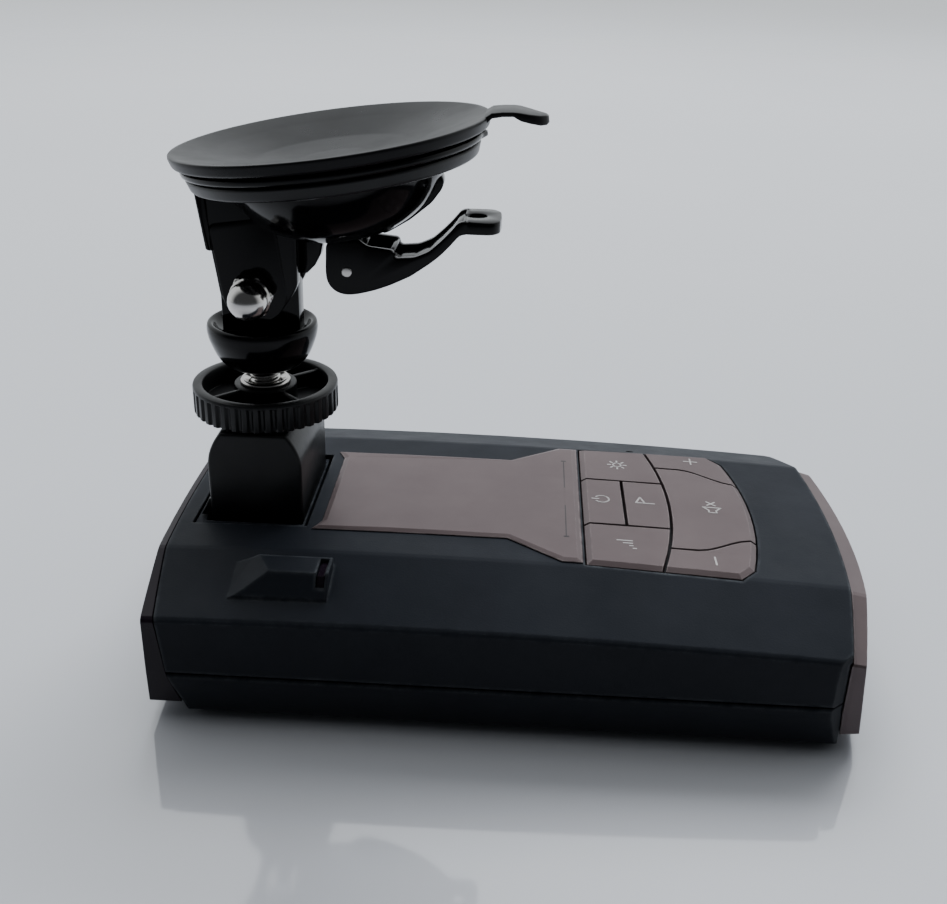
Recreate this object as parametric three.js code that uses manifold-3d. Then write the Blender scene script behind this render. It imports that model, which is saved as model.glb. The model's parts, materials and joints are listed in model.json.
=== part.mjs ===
// Windscreen radar detector on a suction-cup mount, in millimetres, +Z up.
// The case lies flat: X runs along it from the antenna end (-X) to the display end (+X),
// Y across it.  The origin is the centre of the flat underside.
import * as THREE from 'three';
import { mergeVertices } from 'three/addons/utils/BufferGeometryUtils.js';
import Module from 'manifold-3d';

const wasm = await Module();
wasm.setup();

// ---------------------------------------------------------------- driving dimensions
const GAP = 0.3;                 // between neighbouring pieces
const BIG = 200;                 // side of a cutting solid

const CROWN_TOP = 29.5;          // highest level of the keys and the trim plate
const CROWN_X = -25;             // where along the case the crown is highest
const CROWN_DIAMETER = 3100;     // of the arc that the top follows lengthwise
const SKIN_DROP = 0.6;           // case surface below the trim plate's top
const PARTING_Z = 11.15;         // middle of the groove between the two shells
const WALL_TOP_Z = 23;           // top edge of the side walls
const HALF_WIDTH = 44.45;

const FRONT_APEX = -69.6;        // antenna end of the shells, on the centre line
const FRONT_BULGE = 800;         // x moves back by y * y / FRONT_BULGE
const LENS_APEX = -70.9;
const LENS_BULGE = 1000;
const LENS_BOTTOM = 4.1;
const END_APEX = 65;             // display end of the shells
const END_BULGE = 440;
const BEZEL_APEX = 68.95;
const BEZEL_BULGE = 312;

const DOCK = { x0: -65.9, x1: -43.9, halfWidth: 16.5, floor: 24.6, underside: 19.6 };
const BLOCK = { x0: -63.6, x1: -44.6, halfDepth: 14.4, foot: 25.2, top: 47 };
const STEM_X = -53.7;            // vertical axis of the stud, wheel and knuckle
const STUD_RADIUS = 3.175;       // 1/4 inch
const STUD_PITCH = 1.27;         // 20 threads to the inch
const WHEEL = { radius: 14.8, bottom: 47.4, top: 53.4 };

const DISC_TILT = THREE.MathUtils.degToRad(-7.9);
const DISC_CENTRE = new THREE.Vector3(-38.2, 0, 98.06);
const BOLT = { u: -18.4, h: -21.85, radius: 2.5 };   // in the tilted disc's own frame
const PIN_DROP = 19.8;           // lever pin below the disc's rim plane
const SCREW_SPOTS = [[-50, -33], [-50, 33], [50, -33], [50, 33]];

// ---------------------------------------------------------------- solids
function solid(geometry) {
  const bare = geometry.clone();
  bare.deleteAttribute('normal');
  bare.deleteAttribute('uv');
  const merged = mergeVertices(bare, 1e-4);
  return new wasm.Manifold(new wasm.Mesh({
    numProp: 3,
    vertProperties: new Float32Array(merged.attributes.position.array),
    triVerts: new Uint32Array(merged.index.array),
  }));
}

function geometryOf(manifold) {
  const mesh = manifold.getMesh();
  const geometry = new THREE.BufferGeometry();
  geometry.setAttribute('position', new THREE.BufferAttribute(new Float32Array(mesh.vertProperties), 3));
  geometry.setIndex(new THREE.BufferAttribute(new Uint32Array(mesh.triVerts), 1));
  return geometry;
}

function union(...solids) {
  return solids.reduce((sum, next) => sum.add(next));
}

function cut(body, ...tools) {
  return tools.reduce((rest, tool) => rest.subtract(tool), body);
}

// Moves every vertex of a solid with change(vertex).
function reshape(body, change) {
  const geometry = geometryOf(body);
  const position = geometry.attributes.position;
  const vertex = new THREE.Vector3();
  for (let i = 0; i < position.count; i += 1) {
    vertex.fromBufferAttribute(position, i);
    change(vertex);
    position.setXYZ(i, vertex.x, vertex.y, vertex.z);
  }
  return solid(geometry);
}

function box(x0, x1, y0, y1, z0, z1) {
  const geometry = new THREE.BoxGeometry(x1 - x0, y1 - y0, z1 - z0);
  geometry.translate((x0 + x1) / 2, (y0 + y1) / 2, (z0 + z1) / 2);
  return solid(geometry);
}

const AXES = {
  x: new THREE.Matrix4().makeBasis(
    new THREE.Vector3(0, 1, 0), new THREE.Vector3(0, 0, 1), new THREE.Vector3(1, 0, 0)),
  y: new THREE.Matrix4().makeBasis(
    new THREE.Vector3(1, 0, 0), new THREE.Vector3(0, 0, 1), new THREE.Vector3(0, -1, 0)),
  z: new THREE.Matrix4(),
};

// Extrudes an outline along an axis: (y, z) points along x, (x, z) along y, (x, y) along z.
function prism(axis, points, from, to, steps = 1, holes = []) {
  const shape = new THREE.Shape(points.map(([a, b]) => new THREE.Vector2(a, b)));
  shape.holes = holes.map((hole) => new THREE.Path(hole.map(([a, b]) => new THREE.Vector2(a, b))));
  const geometry = new THREE.ExtrudeGeometry(shape, { depth: to - from, steps, bevelEnabled: false });
  geometry.translate(0, 0, axis === 'y' ? -to : from);
  geometry.applyMatrix4(AXES[axis]);
  return solid(geometry);
}

function rod(axis, radius, centre, from, to, segments = 24) {
  return prism(axis, arc(centre[0], centre[1], radius, 0, 360, segments).slice(0, -1), from, to);
}

// A solid of revolution about the vertical line through (x, 0); the profile is [radius, z].
function turned(profile, x, segments) {
  const geometry = new THREE.LatheGeometry(profile.map(([r, z]) => new THREE.Vector2(r, z)), segments);
  geometry.rotateX(Math.PI / 2);
  geometry.translate(x, 0, 0);
  return solid(geometry);
}

// ---------------------------------------------------------------- outlines
function arc(cx, cy, radius, from, to, segments) {
  return Array.from({ length: segments + 1 }, (_, i) => {
    const angle = THREE.MathUtils.degToRad(from + ((to - from) * i) / segments);
    return [cx + radius * Math.cos(angle), cy + radius * Math.sin(angle)];
  });
}

function sample(from, to, count, point) {
  return Array.from({ length: count + 1 }, (_, i) => point(from + ((to - from) * i) / count));
}

// Completes the right-hand half of a (y, z) outline with its mirror image.
function bothSides(half) {
  return [...half, ...half.map(([y, z]) => [-y, z]).reverse()];
}

function rectangle(a0, a1, b0, b1) {
  return [[a0, b0], [a1, b0], [a1, b1], [a0, b1]];
}

// ---------------------------------------------------------------- the case's own form
function crown(x) {
  return -((x - CROWN_X) ** 2) / CROWN_DIAMETER;
}

function crownCase(vertex) {
  const share = (vertex.z - PARTING_Z - 1) / (WALL_TOP_Z - PARTING_Z - 1);
  vertex.z += crown(vertex.x) * THREE.MathUtils.clamp(share, 0, 1);
}

function crownTop(vertex) {
  vertex.z += crown(vertex.x);
}

function crownedPrism(half, from, to, steps) {
  return reshape(prism('x', bothSides(half), from, to, steps), crownCase);
}

const CASE_STEPS = 8;            // straight pieces that follow the crown lengthwise

const OUTER_SECTION = [
  [39, 0], [42.5, 2], [44.15, 9], [44.3, PARTING_Z - 0.6], [44, PARTING_Z - 0.15],
  [44, PARTING_Z + 0.15], [HALF_WIDTH, PARTING_Z + 0.6], [44, WALL_TOP_Z - 0.3],
  [43.7, WALL_TOP_Z + 0.3], [43.2, WALL_TOP_Z + 0.7], [27, CROWN_TOP - SKIN_DROP - 0.15],
  [26, CROWN_TOP - SKIN_DROP],
];
const INNER_SECTION = [
  [38.3, 2], [40.7, 3.2], [42.2, 9], [42.3, 22], [41.6, 22.4], [26.4, 26.9],
];

function frontLean(z) {
  const upper = 0.126 * (28.9 - Math.max(z, 10.6));
  return upper + 0.36 * Math.max(0, 10.6 - z);
}

// Everything in front of the leaning face that closes the shells at the antenna end.
function frontOf(offset) {
  const curve = sample(-60, 60, 16, (y) => [FRONT_APEX + (y * y) / FRONT_BULGE + offset, y]);
  const block = prism('z', [[-BIG, 60], [-BIG, -60], ...curve], -9.4, 50.6, 3);
  return reshape(block, (vertex) => { vertex.x += frontLean(vertex.z); });
}

function endX(y) {
  return END_APEX - (y * y) / END_BULGE - 1.1 * Math.max(0, Math.abs(y) - 42.3);
}

// Everything beyond an upright curved face at the display end.
function beyond(curveX) {
  const curve = sample(60, -60, 40, (y) => [curveX(y), y]);
  return prism('z', [[BIG, -60], [BIG, 60], ...curve], -60, 90);
}

function bezelX(y) {
  return BEZEL_APEX - (y * y) / BEZEL_BULGE;
}

// Everything in front of the bezel's face, whose curve flattens towards the underside.
function aheadOfBezel() {
  const curve = sample(60, -60, 40, (y) => [bezelX(y), y]);
  const block = prism('z', [[BIG, -60], [BIG, 60], ...curve], 0, 32, 4);
  return reshape(block, (vertex) => {
    vertex.x += 0.075 * (25 - vertex.z) * (vertex.y / 42.5) ** 2;
  });
}

// ---------------------------------------------------------------- keypad and trim outlines
const PAD = { x0: 13, halfLeft: 25.9, halfRight: 26.9, xRight: 42.6 };
const PLATE_END = 12.3;
const KEY_GAP = 0.35;            // half of the groove between two keys
const KEY_DEPTH = 2.5;
const ROW_Y = 10.2;              // grooves beside the middle row of keys
const MIDDLE_SPLIT = 21.7;

function arcGapX(y) {
  return 31.3 - (y * y) / 198;
}

function padEndX(y) {
  return 48.5 - (y * y) / 186;
}

function volumeGapY(x) {
  return 18.2 - 5.6 * THREE.MathUtils.smoothstep(x, 35, 47);
}

function padOutline() {
  const end = sample(-23.5, 23.5, 10, (y) => [padEndX(y), y]);
  return [
    [PAD.x0, -PAD.halfLeft], [27.7, -26.5], [PAD.xRight, -PAD.halfRight], ...end,
    [PAD.xRight, PAD.halfRight], [27.7, 26.5], [PAD.x0, PAD.halfLeft],
  ];
}

function plateOutline() {
  const half = [[-41.8, 18.1], [-28.5, 18.1], [-15.5, 18.1], [-2.6, 18.1], [8.2, 25.8], [PLATE_END, 25.8]];
  return [
    ...half.map(([x, y]) => [x, -y]), ...half.reverse(),
    [-40.2, 14.8], [-40.2, -14.8],
  ];
}

// Grows an outline outwards by a distance, moving each corner along its two edges' normals.
function grown(points, distance) {
  return points.map((point, i) => {
    const before = points[(i + points.length - 1) % points.length];
    const after = points[(i + 1) % points.length];
    const normals = [[before, point], [point, after]].map(([a, b]) => {
      const length = Math.hypot(b[0] - a[0], b[1] - a[1]);
      return [(b[1] - a[1]) / length, (a[0] - b[0]) / length];
    });
    const sum = [normals[0][0] + normals[1][0], normals[0][1] + normals[1][1]];
    const scale = (2 * distance) / (sum[0] * sum[0] + sum[1] * sum[1]);
    return [point[0] + sum[0] * scale, point[1] + sum[1] * scale];
  });
}

// A plate whose upper edge is chamfered all round: wide across, deep down.
function chamferedPlate(points, bottom, top, wide, deep) {
  const shape = new THREE.Shape(points.map(([x, y]) => new THREE.Vector2(x, y)));
  const body = top - bottom - deep;
  const geometry = new THREE.ExtrudeGeometry(shape, {
    depth: body + deep, bevelEnabled: true, bevelThickness: deep, bevelSize: wide,
    bevelOffset: -wide, bevelSegments: 1,
  });
  geometry.translate(0, 0, bottom - deep);
  return cut(solid(geometry), box(-BIG, BIG, -BIG, BIG, bottom - 5, bottom));
}

// ---------------------------------------------------------------- case pieces
const PORTS = {
  power: { x: 2, halfWidth: 5.4, z0: 8.3, z1: 16.2 },
  usb: { x: 17, halfWidth: 4.1, z0: 9.6, z1: 12.8 },
  audio: { x: 29, radius: 2.9, z: 11.15 },
};
const PORT_WALL = [40, 50];      // y range of the cuts through the far side wall
const BUMP = {
  x0: -54, rampFar: -49.6, rampNear: -45, x1: -35.4, y0: -38.7, edge: -35.8, y1: -30, top: 29.5,
};
const FACET_SLOPE = 0.304;       // fall of the sloped facet per millimetre across
const SENSOR_SPOT = [25, 29.2];
const SPEAKER = { x: 12, y: -16, radius: 14 };

function facetZ(x, y) {
  return CROWN_TOP + crown(x) - 0.75 - (Math.abs(y) - 27) * FACET_SLOPE;
}

function portCuts() {
  const { power, usb, audio } = PORTS;
  return [
    box(power.x - power.halfWidth, power.x + power.halfWidth, ...PORT_WALL, power.z0, power.z1),
    box(usb.x - usb.halfWidth, usb.x + usb.halfWidth, ...PORT_WALL, usb.z0, usb.z1),
    rod('y', audio.radius, [audio.x, audio.z], ...PORT_WALL),
  ];
}

// The raised housing of the rear-facing laser sensor on the near sloped facet.
function sensorBump() {
  const foot = facetZ(-42, BUMP.y0) - 0.6;
  const section = [
    [BUMP.y0, foot], [BUMP.y1, foot], [BUMP.y1, BUMP.top], [BUMP.edge, BUMP.top], [BUMP.y0, foot + 1.1],
  ];
  const run = prism('x', section, BUMP.x0, BUMP.x1);
  const ramp = [[-0.2, -0.2], [1, 1], [1, 2.2], [-0.2, 2.2]];
  const above = reshape(prism('y', ramp, BUMP.y0 - 1, BUMP.y1 + 1), (vertex) => {
    const base = facetZ(BUMP.x0, vertex.y);
    const nearness = (vertex.y - BUMP.y1) / (BUMP.y0 - BUMP.y1);
    const ridge = THREE.MathUtils.lerp(BUMP.rampFar, BUMP.rampNear, nearness);
    vertex.x = THREE.MathUtils.lerp(BUMP.x0, ridge, vertex.x);
    vertex.z = base + vertex.z * (BUMP.top - base);
  });
  return cut(run, above);
}

const LASER_WINDOW = { x0: -37.5, x1: -36.1 };

function topShell() {
  const outer = crownedPrism(OUTER_SECTION, -75, 67, CASE_STEPS);
  const inner = crownedPrism(INNER_SECTION, -76, 68, CASE_STEPS);
  const dock = box(DOCK.x0 - GAP, DOCK.x1 + 1, -DOCK.halfWidth - GAP, DOCK.halfWidth + GAP, 15, 40);
  const keyhole = prism('z', grown(padOutline(), 0.35), 20, 40);
  const sensor = rod('z', 0.95, SENSOR_SPOT, 20, 40, 12);
  const slot = box(LASER_WINDOW.x0 - 0.15, LASER_WINDOW.x1 + 0.15, BUMP.y0 + 1.3, BUMP.y1 - 0.6, 20, 40);
  const bosses = SCREW_SPOTS.map(([x, y]) => cut(
    rod('z', 3.2, [x, y], 8.1, 26, 16).intersect(outer), rod('z', 1.5, [x, y], 8, 20, 12)));
  const dockWall = cut(
    box(DOCK.x0 - 2, DOCK.x1 + 2.8, -DOCK.halfWidth - 2, DOCK.halfWidth + 2, 22, 27.5), dock);
  const skin = cut(outer, inner, frontOf(0), beyond(endX));
  const inside = union(...bosses, cut(dockWall, frontOf(1)));
  const whole = union(skin, sensorBump(), inside);
  const below = cut(box(-BIG, BIG, -BIG, BIG, -BIG, PARTING_Z + 0.15), ...bossSleeves(0.05));
  return cut(whole, below, dock, keyhole, sensor, slot, ...portCuts());
}

// The columns round the case screws, which reach across the parting line.
function bossSleeves(extra) {
  return SCREW_SPOTS.map(([x, y]) => rod('z', 3.2 + extra, [x, y], 8.1, PARTING_Z + 1, 16));
}

function bottomShell() {
  const outer = crownedPrism(OUTER_SECTION, -75, 67, CASE_STEPS);
  const inner = crownedPrism(INNER_SECTION, -76, 68, CASE_STEPS);
  const skin = cut(outer, inner, frontOf(0), beyond(endX));
  const columns = SCREW_SPOTS.map(([x, y]) => rod('z', 3.2, [x, y], 1, 5.9, 16));
  const bores = SCREW_SPOTS.flatMap(([x, y]) => [
    rod('z', 1.6, [x, y], -1, 8, 12), rod('z', 3, [x, y], -1, 2.3, 16),
  ]);
  const slots = Array.from({ length: 8 }, (_, i) => {
    const y = SPEAKER.y - 10.5 + i * 3;
    const half = Math.sqrt(144 - (y - SPEAKER.y) ** 2);
    return box(SPEAKER.x - half, SPEAKER.x + half, y - 0.7, y + 0.7, -1, 3);
  });
  const frontWall = prism('x', rectangle(-36, 36, 1.5, 5), -62.5, -60.5);
  const lid = box(-BIG, BIG, -BIG, BIG, PARTING_Z - 0.15, BIG);
  return cut(union(skin, frontWall, ...columns), lid, ...bores, ...slots, ...portCuts());
}

function frontLens() {
  const side = [[42.8, 3], [43.2, 4.2], [43.7, PARTING_Z]];
  const roof = OUTER_SECTION.slice(-5).map(([y, z]) => [y * 0.995, z - 0.2]);
  const outer = crownedPrism([...side, ...roof], -76, -58, 4);
  const curve = sample(-60, 60, 16, (y) => [LENS_APEX + (y * y) / LENS_BULGE, y]);
  const ahead = prism('z', [[-BIG, 60], [-BIG, -60], ...curve], -10, 60);
  const cap = cut(outer.intersect(frontOf(-GAP)), ahead, box(-BIG, BIG, -BIG, BIG, -BIG, LENS_BOTTOM));
  const hornView = prism('x', bothSides([[30, 9], [30, 17.5]]), -68.6, -50);
  return cut(cap, hornView);
}

const BEZEL_SECTION = [
  [37.5, 3], [42.1, 4], [42.4, 9], [42.35, PARTING_Z], [42.3, 21.3], [42, 21.9],
  [27, CROWN_TOP - SKIN_DROP - 0.75], [26, CROWN_TOP - SKIN_DROP - 0.6],
];
const WINDOW_SECTION = [[37, 6.4], [38, 7.4], [38, 17.9], [37.4, 18.9], [24, 22.6]];

function scaledSection(section, distance) {
  return grown(bothSides(section), distance);
}

function displayBezel() {
  const steps = 7;
  const ring = reshape(crownedPrism(BEZEL_SECTION, 56, 70, steps), (vertex) => {
    const past = Math.max(0, vertex.x - 62);
    vertex.y *= 1 - 0.003 * past;
    vertex.z -= vertex.z > 15 ? 0.2 * past : 0;
  });
  const through = prism('x', scaledSection(WINDOW_SECTION, -1.2), 50, 75);
  const pocket = prism('x', scaledSection(WINDOW_SECTION, GAP), 50, 75)
    .intersect(beyond((y) => bezelX(y) - 2.9));
  const behind = cut(box(50, 80, -60, 60, -10, 60), beyond((y) => endX(y) + GAP));
  return cut(ring, behind, aheadOfBezel(), through, pocket);
}

function displayWindow() {
  const slab = prism('x', bothSides(WINDOW_SECTION), 50, 75);
  return cut(slab.intersect(beyond((y) => bezelX(y) - 2.6)), beyond((y) => bezelX(y) - 0.9));
}

function displayModule() {
  return union(
    box(60.2, 62.4, -14, 30, 8.4, 19.4), box(58.8, 60.3, -16, 32, 7.9, 20.6),
  );
}

function trimPlate() {
  const plate = chamferedPlate(plateOutline(), CROWN_TOP - 0.45, CROWN_TOP, 1.1, 0.42);
  return reshape(plate, crownTop);
}

function keypadBlank() {
  return chamferedPlate(padOutline(), CROWN_TOP - KEY_DEPTH, CROWN_TOP, 1.1, 0.7);
}

function keyRegions() {
  const arcSide = (y0, y1, side) => sample(y0, y1, 6, (y) => [arcGapX(y) + side * KEY_GAP, y]);
  const volumeEdge = (sign, shift) => sample(28, 50, 12, (x) => [x, sign * (volumeGapY(x) + shift)]);
  const edge = 40;
  return {
    key_brightness: [[0, ROW_Y + KEY_GAP], ...arcSide(ROW_Y + KEY_GAP, edge, -1), [0, edge]],
    key_power: rectangle(0, MIDDLE_SPLIT - KEY_GAP, -ROW_Y + KEY_GAP, ROW_Y - KEY_GAP),
    key_mark: [
      [MIDDLE_SPLIT + KEY_GAP, -ROW_Y + KEY_GAP], ...arcSide(-ROW_Y + KEY_GAP, ROW_Y - KEY_GAP, -1),
      [MIDDLE_SPLIT + KEY_GAP, ROW_Y - KEY_GAP],
    ],
    key_sensitivity: [[0, -edge], ...arcSide(-edge, -ROW_Y - KEY_GAP, -1), [0, -ROW_Y - KEY_GAP]],
    key_volume_up: [...volumeEdge(1, KEY_GAP), [50, edge], [20, edge]],
    key_volume_down: [[20, -edge], [50, -edge], ...volumeEdge(-1, KEY_GAP).reverse()],
    key_mute: [...volumeEdge(-1, -KEY_GAP), ...volumeEdge(1, -KEY_GAP).reverse()],
  };
}

function keys() {
  const blank = keypadBlank();
  const rightOfArc = prism('z', [
    ...sample(-40, 40, 16, (y) => [arcGapX(y) + KEY_GAP, y]).reverse(), [80, -40], [80, 40],
  ].reverse(), 0, 60);
  return Object.entries(keyRegions()).map(([name, region]) => {
    const rightCluster = name.startsWith('key_volume') || name === 'key_mute';
    const whole = blank.intersect(prism('z', region, 0, 60));
    const key = rightCluster ? whole.intersect(rightOfArc) : whole;
    return [name, reshape(key, crownTop)];
  });
}

function keypadMembrane() {
  const sheet = prism('z', grown(padOutline(), 0.9), CROWN_TOP - 4.6, CROWN_TOP - 3.5);
  const rim = prism('z', grown(padOutline(), 0.9), CROWN_TOP - 4.6, CROWN_TOP - 3.1, 1,
    [grown(padOutline(), 0.4)]);
  return reshape(union(sheet, rim), crownTop);
}

function laserWindow() {
  const y0 = BUMP.y0 + 1.5;
  const y1 = BUMP.y1 - 0.8;
  const section = [
    [y0, 24.4], [y1, 24.4], [y1, BUMP.top - 0.7], [BUMP.edge + 0.1, BUMP.top - 0.7], [y0, BUMP.top - 3.1],
  ];
  return prism('x', section, LASER_WINDOW.x0, LASER_WINDOW.x1);
}

// ---------------------------------------------------------------- inside the case
const BOARD = { z0: 6, z1: 7.6 };

function mainBoard() {
  const board = box(-57, 56, -36.5, 36.5, BOARD.z0, BOARD.z1);
  const holes = SCREW_SPOTS.map(([x, y]) => rod('z', 1.9, [x, y], 5, 9, 12));
  const speakerHole = rod('z', SPEAKER.radius + 0.6, [SPEAKER.x, SPEAKER.y], 5, 9, 32);
  return cut(board, ...holes, speakerHole);
}

// A die-cast waveguide horn: a box body with a flared, open mouth at its x0 end.
function waveguideHorn(x0, x1, halfWidth, z0, z1, mouthDepth) {
  const y = halfWidth - 1.4;
  const zm = (z0 + z1) / 2;
  const throat = 2;
  const flare = prism('y', [
    [x0 - 0.01 * Math.sign(x1 - x0), z0 + 1.4], [x0 + mouthDepth, zm - throat],
    [x0 + mouthDepth, zm + throat], [x0 - 0.01 * Math.sign(x1 - x0), z1 - 1.4],
  ], -y, y);
  return cut(box(Math.min(x0, x1), Math.max(x0, x1), -halfWidth, halfWidth, z0, z1), flare);
}

function frontHorn() {
  return waveguideHorn(-60, -16, 13, 7.9, 18.4, 22);
}

function rearHorn() {
  const horn = waveguideHorn(58, 36, 8, 7.9, 15.4, -12);
  return reshape(horn, (vertex) => { vertex.y -= 19; });
}

function gpsAntenna() {
  return union(box(-40, -17, -11.5, 11.5, 18.7, 22.2), rod('z', 1.2, [-28.5, 0], 22.1, 22.6, 12));
}

function speaker() {
  const { x, y, radius } = SPEAKER;
  const profile = [
    [0, 2.4], [radius, 2.4], [radius, 4.4], [radius - 1.2, 4.6], [8, 9.4], [8, 12.4], [0, 12.4],
  ];
  const body = turned(profile, x, 32);
  return reshape(body, (vertex) => { vertex.y += y; });
}

function laserSensor(x, y, z, facing) {
  return union(
    box(x - 2, x + 2, y - 4, y + 4, z, z + 6.5),
    rod('x', 2.3, [y, z + 3.4], facing > 0 ? x + 1.9 : x - 3.6, facing > 0 ? x + 3.6 : x - 1.9, 16),
  );
}

// A socket that stands on the board and pokes its nose into its port.
function socketBody({ x, halfWidth, z0, z1 }, back) {
  const half = halfWidth - GAP;
  const foot = BOARD.z1 + GAP;
  const top = z1 - GAP;
  const nose = box(x - half, x + half, 41, 43.4, z0 + GAP, top);
  return union(box(x - half, x + half, back, 41.2, foot, top), nose);
}

function powerJack() {
  const { x, z0, z1 } = PORTS.power;
  const mouth = box(x - 3.9, x + 3.9, 34, 45, z0 + 1, z1 - 1.5);
  const latch = box(x - 1.6, x + 1.6, 34, 45, z0 + 1, z1 - 0.9);
  return cut(socketBody(PORTS.power, 31), mouth, latch);
}

function usbSocket() {
  const { x, z0, z1 } = PORTS.usb;
  return cut(socketBody(PORTS.usb, 33), box(x - 3, x + 3, 35, 45, z0 + 0.9, z1 - 0.9));
}

function audioJack() {
  const { x, z } = PORTS.audio;
  const body = union(box(x - 3.2, x + 3.2, 30, 41.5, 7.9, 14.2), rod('y', 2.6, [x, z], 41.4, 43.6, 24));
  return cut(body, rod('y', 1.78, [x, z], 31, 45, 16));
}

function lightSensor() {
  const [x, y] = SENSOR_SPOT;
  const tip = rod('z', 0.75, SENSOR_SPOT, 22, facetZ(x, y) - 0.7, 12);
  const foot = rod('z', 1.7, SENSOR_SPOT, 21, 22.1, 12);
  return union(tip, foot);
}

function caseScrew([x, y]) {
  const profile = [[0, 0.5], [2.7, 0.5], [2.7, 1.6], [2.1, 2.1], [1.35, 2.1], [1.35, 18.6], [0, 19.4]];
  const reach = 1.6;
  const half = 0.3;
  const recess = union(
    box(x - reach, x + reach, y - half, y + half, 0, 1.4),
    box(x - half, x + half, y - reach, y + reach, 0, 1.4),
  );
  return cut(reshape(turned(profile, x, 16), (vertex) => { vertex.y += y; }), recess);
}

// ---------------------------------------------------------------- magnetic dock and block
function dockTray() {
  const { x0, x1, halfWidth, floor, underside } = DOCK;
  const rim = CROWN_TOP - SKIN_DROP - 1.1;
  const tray = box(x0, x1, -halfWidth, halfWidth, underside, rim);
  const depth = BLOCK.halfDepth + GAP;
  const pocket = box(BLOCK.x0 - GAP, BLOCK.x1 + GAP, -depth, depth, floor, 40);
  const magnet = rod('z', 6.2, [STEM_X, 0], underside - 1, 22.9, 24);
  const flange = box(x0 + 0.5, x1 + 3.4, -halfWidth - 3.2, halfWidth + 3.2, underside, 21.4);
  return cut(union(tray, flange), pocket, magnet);
}

function blockOutline() {
  const shoulder = (side, from, to) => sample(from, to, 7, (t) => [
    STEM_X + side * (9.5 - 2.9 * t * t), 39.6 + 7.4 * t,
  ]);
  return [
    [BLOCK.x0, BLOCK.foot], [BLOCK.x1, BLOCK.foot],
    ...shoulder(1, 0, 1), ...shoulder(-1, 1, 0),
  ];
}

function mountBlock() {
  const body = prism('y', blockOutline(), -BLOCK.halfDepth, BLOCK.halfDepth);
  const skirt = prism('y', [[-65.4, 28.3], [-63, 28.3], [-63, 32.6], [-63.6, 32]], -13.6, 13.6);
  const insertBore = rod('z', 4.9, [STEM_X, 0], 36.6, 50, 24);
  const magnetBore = rod('z', 6.2, [STEM_X, 0], 20, 28.6, 24);
  const relief = rod('z', 3.6, [STEM_X, 0], 30, 50, 24);
  return cut(union(body, skirt), insertBore, magnetBore, relief);
}

function blockInsert() {
  const { top } = BLOCK;
  const profile = [[3.35, 37], [4.7, 37], [4.7, top - 0.2], [3.35, top - 0.2], [3.35, 37]];
  return turned(profile, STEM_X, 24);
}

// ---------------------------------------------------------------- thumbwheel and stud
function thumbwheel() {
  const { radius, bottom, top } = WHEEL;
  const ribs = 40;
  const outline = Array.from({ length: ribs }, (_, i) => {
    const step = 360 / ribs;
    const start = i * step;
    return [
      ...arc(STEM_X, 0, radius, start, start + step * 0.5, 1),
      ...arc(STEM_X, 0, radius - 0.55, start + step * 0.6, start + step * 0.9, 1),
    ];
  }).flat();
  const disc = prism('z', outline, bottom, top);
  const well = rod('z', 12.9, [STEM_X, 0], bottom + 1.6, 60, 48);
  const hub = rod('z', 6.3, [STEM_X, 0], bottom + 1, top - 0.3, 32);
  const spokes = [45, 135].map((turn) => {
    const spoke = box(-13, 13, -0.55, 0.55, bottom + 1, top - 0.5);
    return reshape(spoke, (vertex) => {
      vertex.applyAxisAngle(new THREE.Vector3(0, 0, 1), THREE.MathUtils.degToRad(turn));
      vertex.x += STEM_X;
    });
  });
  const bore = rod('z', 4.7, [STEM_X, 0], 40, 60, 24);
  return cut(union(cut(disc, well), hub, ...spokes), bore);
}

function wheelInsert() {
  const profile = [
    [3.35, 47.7], [4.5, 47.7], [4.5, 53.3], [5.1, 53.3], [4.6, 54], [3.6, 54], [3.35, 53.7], [3.35, 47.7],
  ];
  return turned(profile, STEM_X, 24);
}

function mountStud() {
  const bottom = 38.6;
  const threadStart = 46;
  const threadEnd = 56;
  const top = 58.5;
  const root = STUD_RADIUS - 0.55;
  const turns = Math.floor((threadEnd - threadStart) / STUD_PITCH);
  const flanks = Array.from({ length: turns }, (_, i) => {
    const z = threadStart + i * STUD_PITCH;
    return [[root, z], [STUD_RADIUS, z + STUD_PITCH * 0.45], [STUD_RADIUS, z + STUD_PITCH * 0.55]];
  }).flat();
  const plain = STUD_RADIUS - 0.2;
  return turned([
    [0, bottom], [plain, bottom], [plain, threadStart], ...flanks, [root, threadEnd], [root, top], [0, top],
  ], STEM_X, 20);
}

// ---------------------------------------------------------------- knuckle and head
const BOLT_WORLD = discPoint(BOLT.u, 0, BOLT.h);
const TONGUE = { halfWidth: 7.75, halfThick: 2.5 };
const EAR = { inner: 2.9, outer: 6.9, web: 6.3, radius: 6.6 };

// World position of a point given in the tilted disc's frame.
function discPoint(u, y, h) {
  return new THREE.Vector3(u, y, h)
    .applyAxisAngle(new THREE.Vector3(0, 1, 0), DISC_TILT)
    .add(DISC_CENTRE);
}

function ontoDisc(body) {
  return reshape(body, (vertex) => { vertex.copy(discPoint(vertex.x, vertex.y, vertex.z)); });
}

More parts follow.
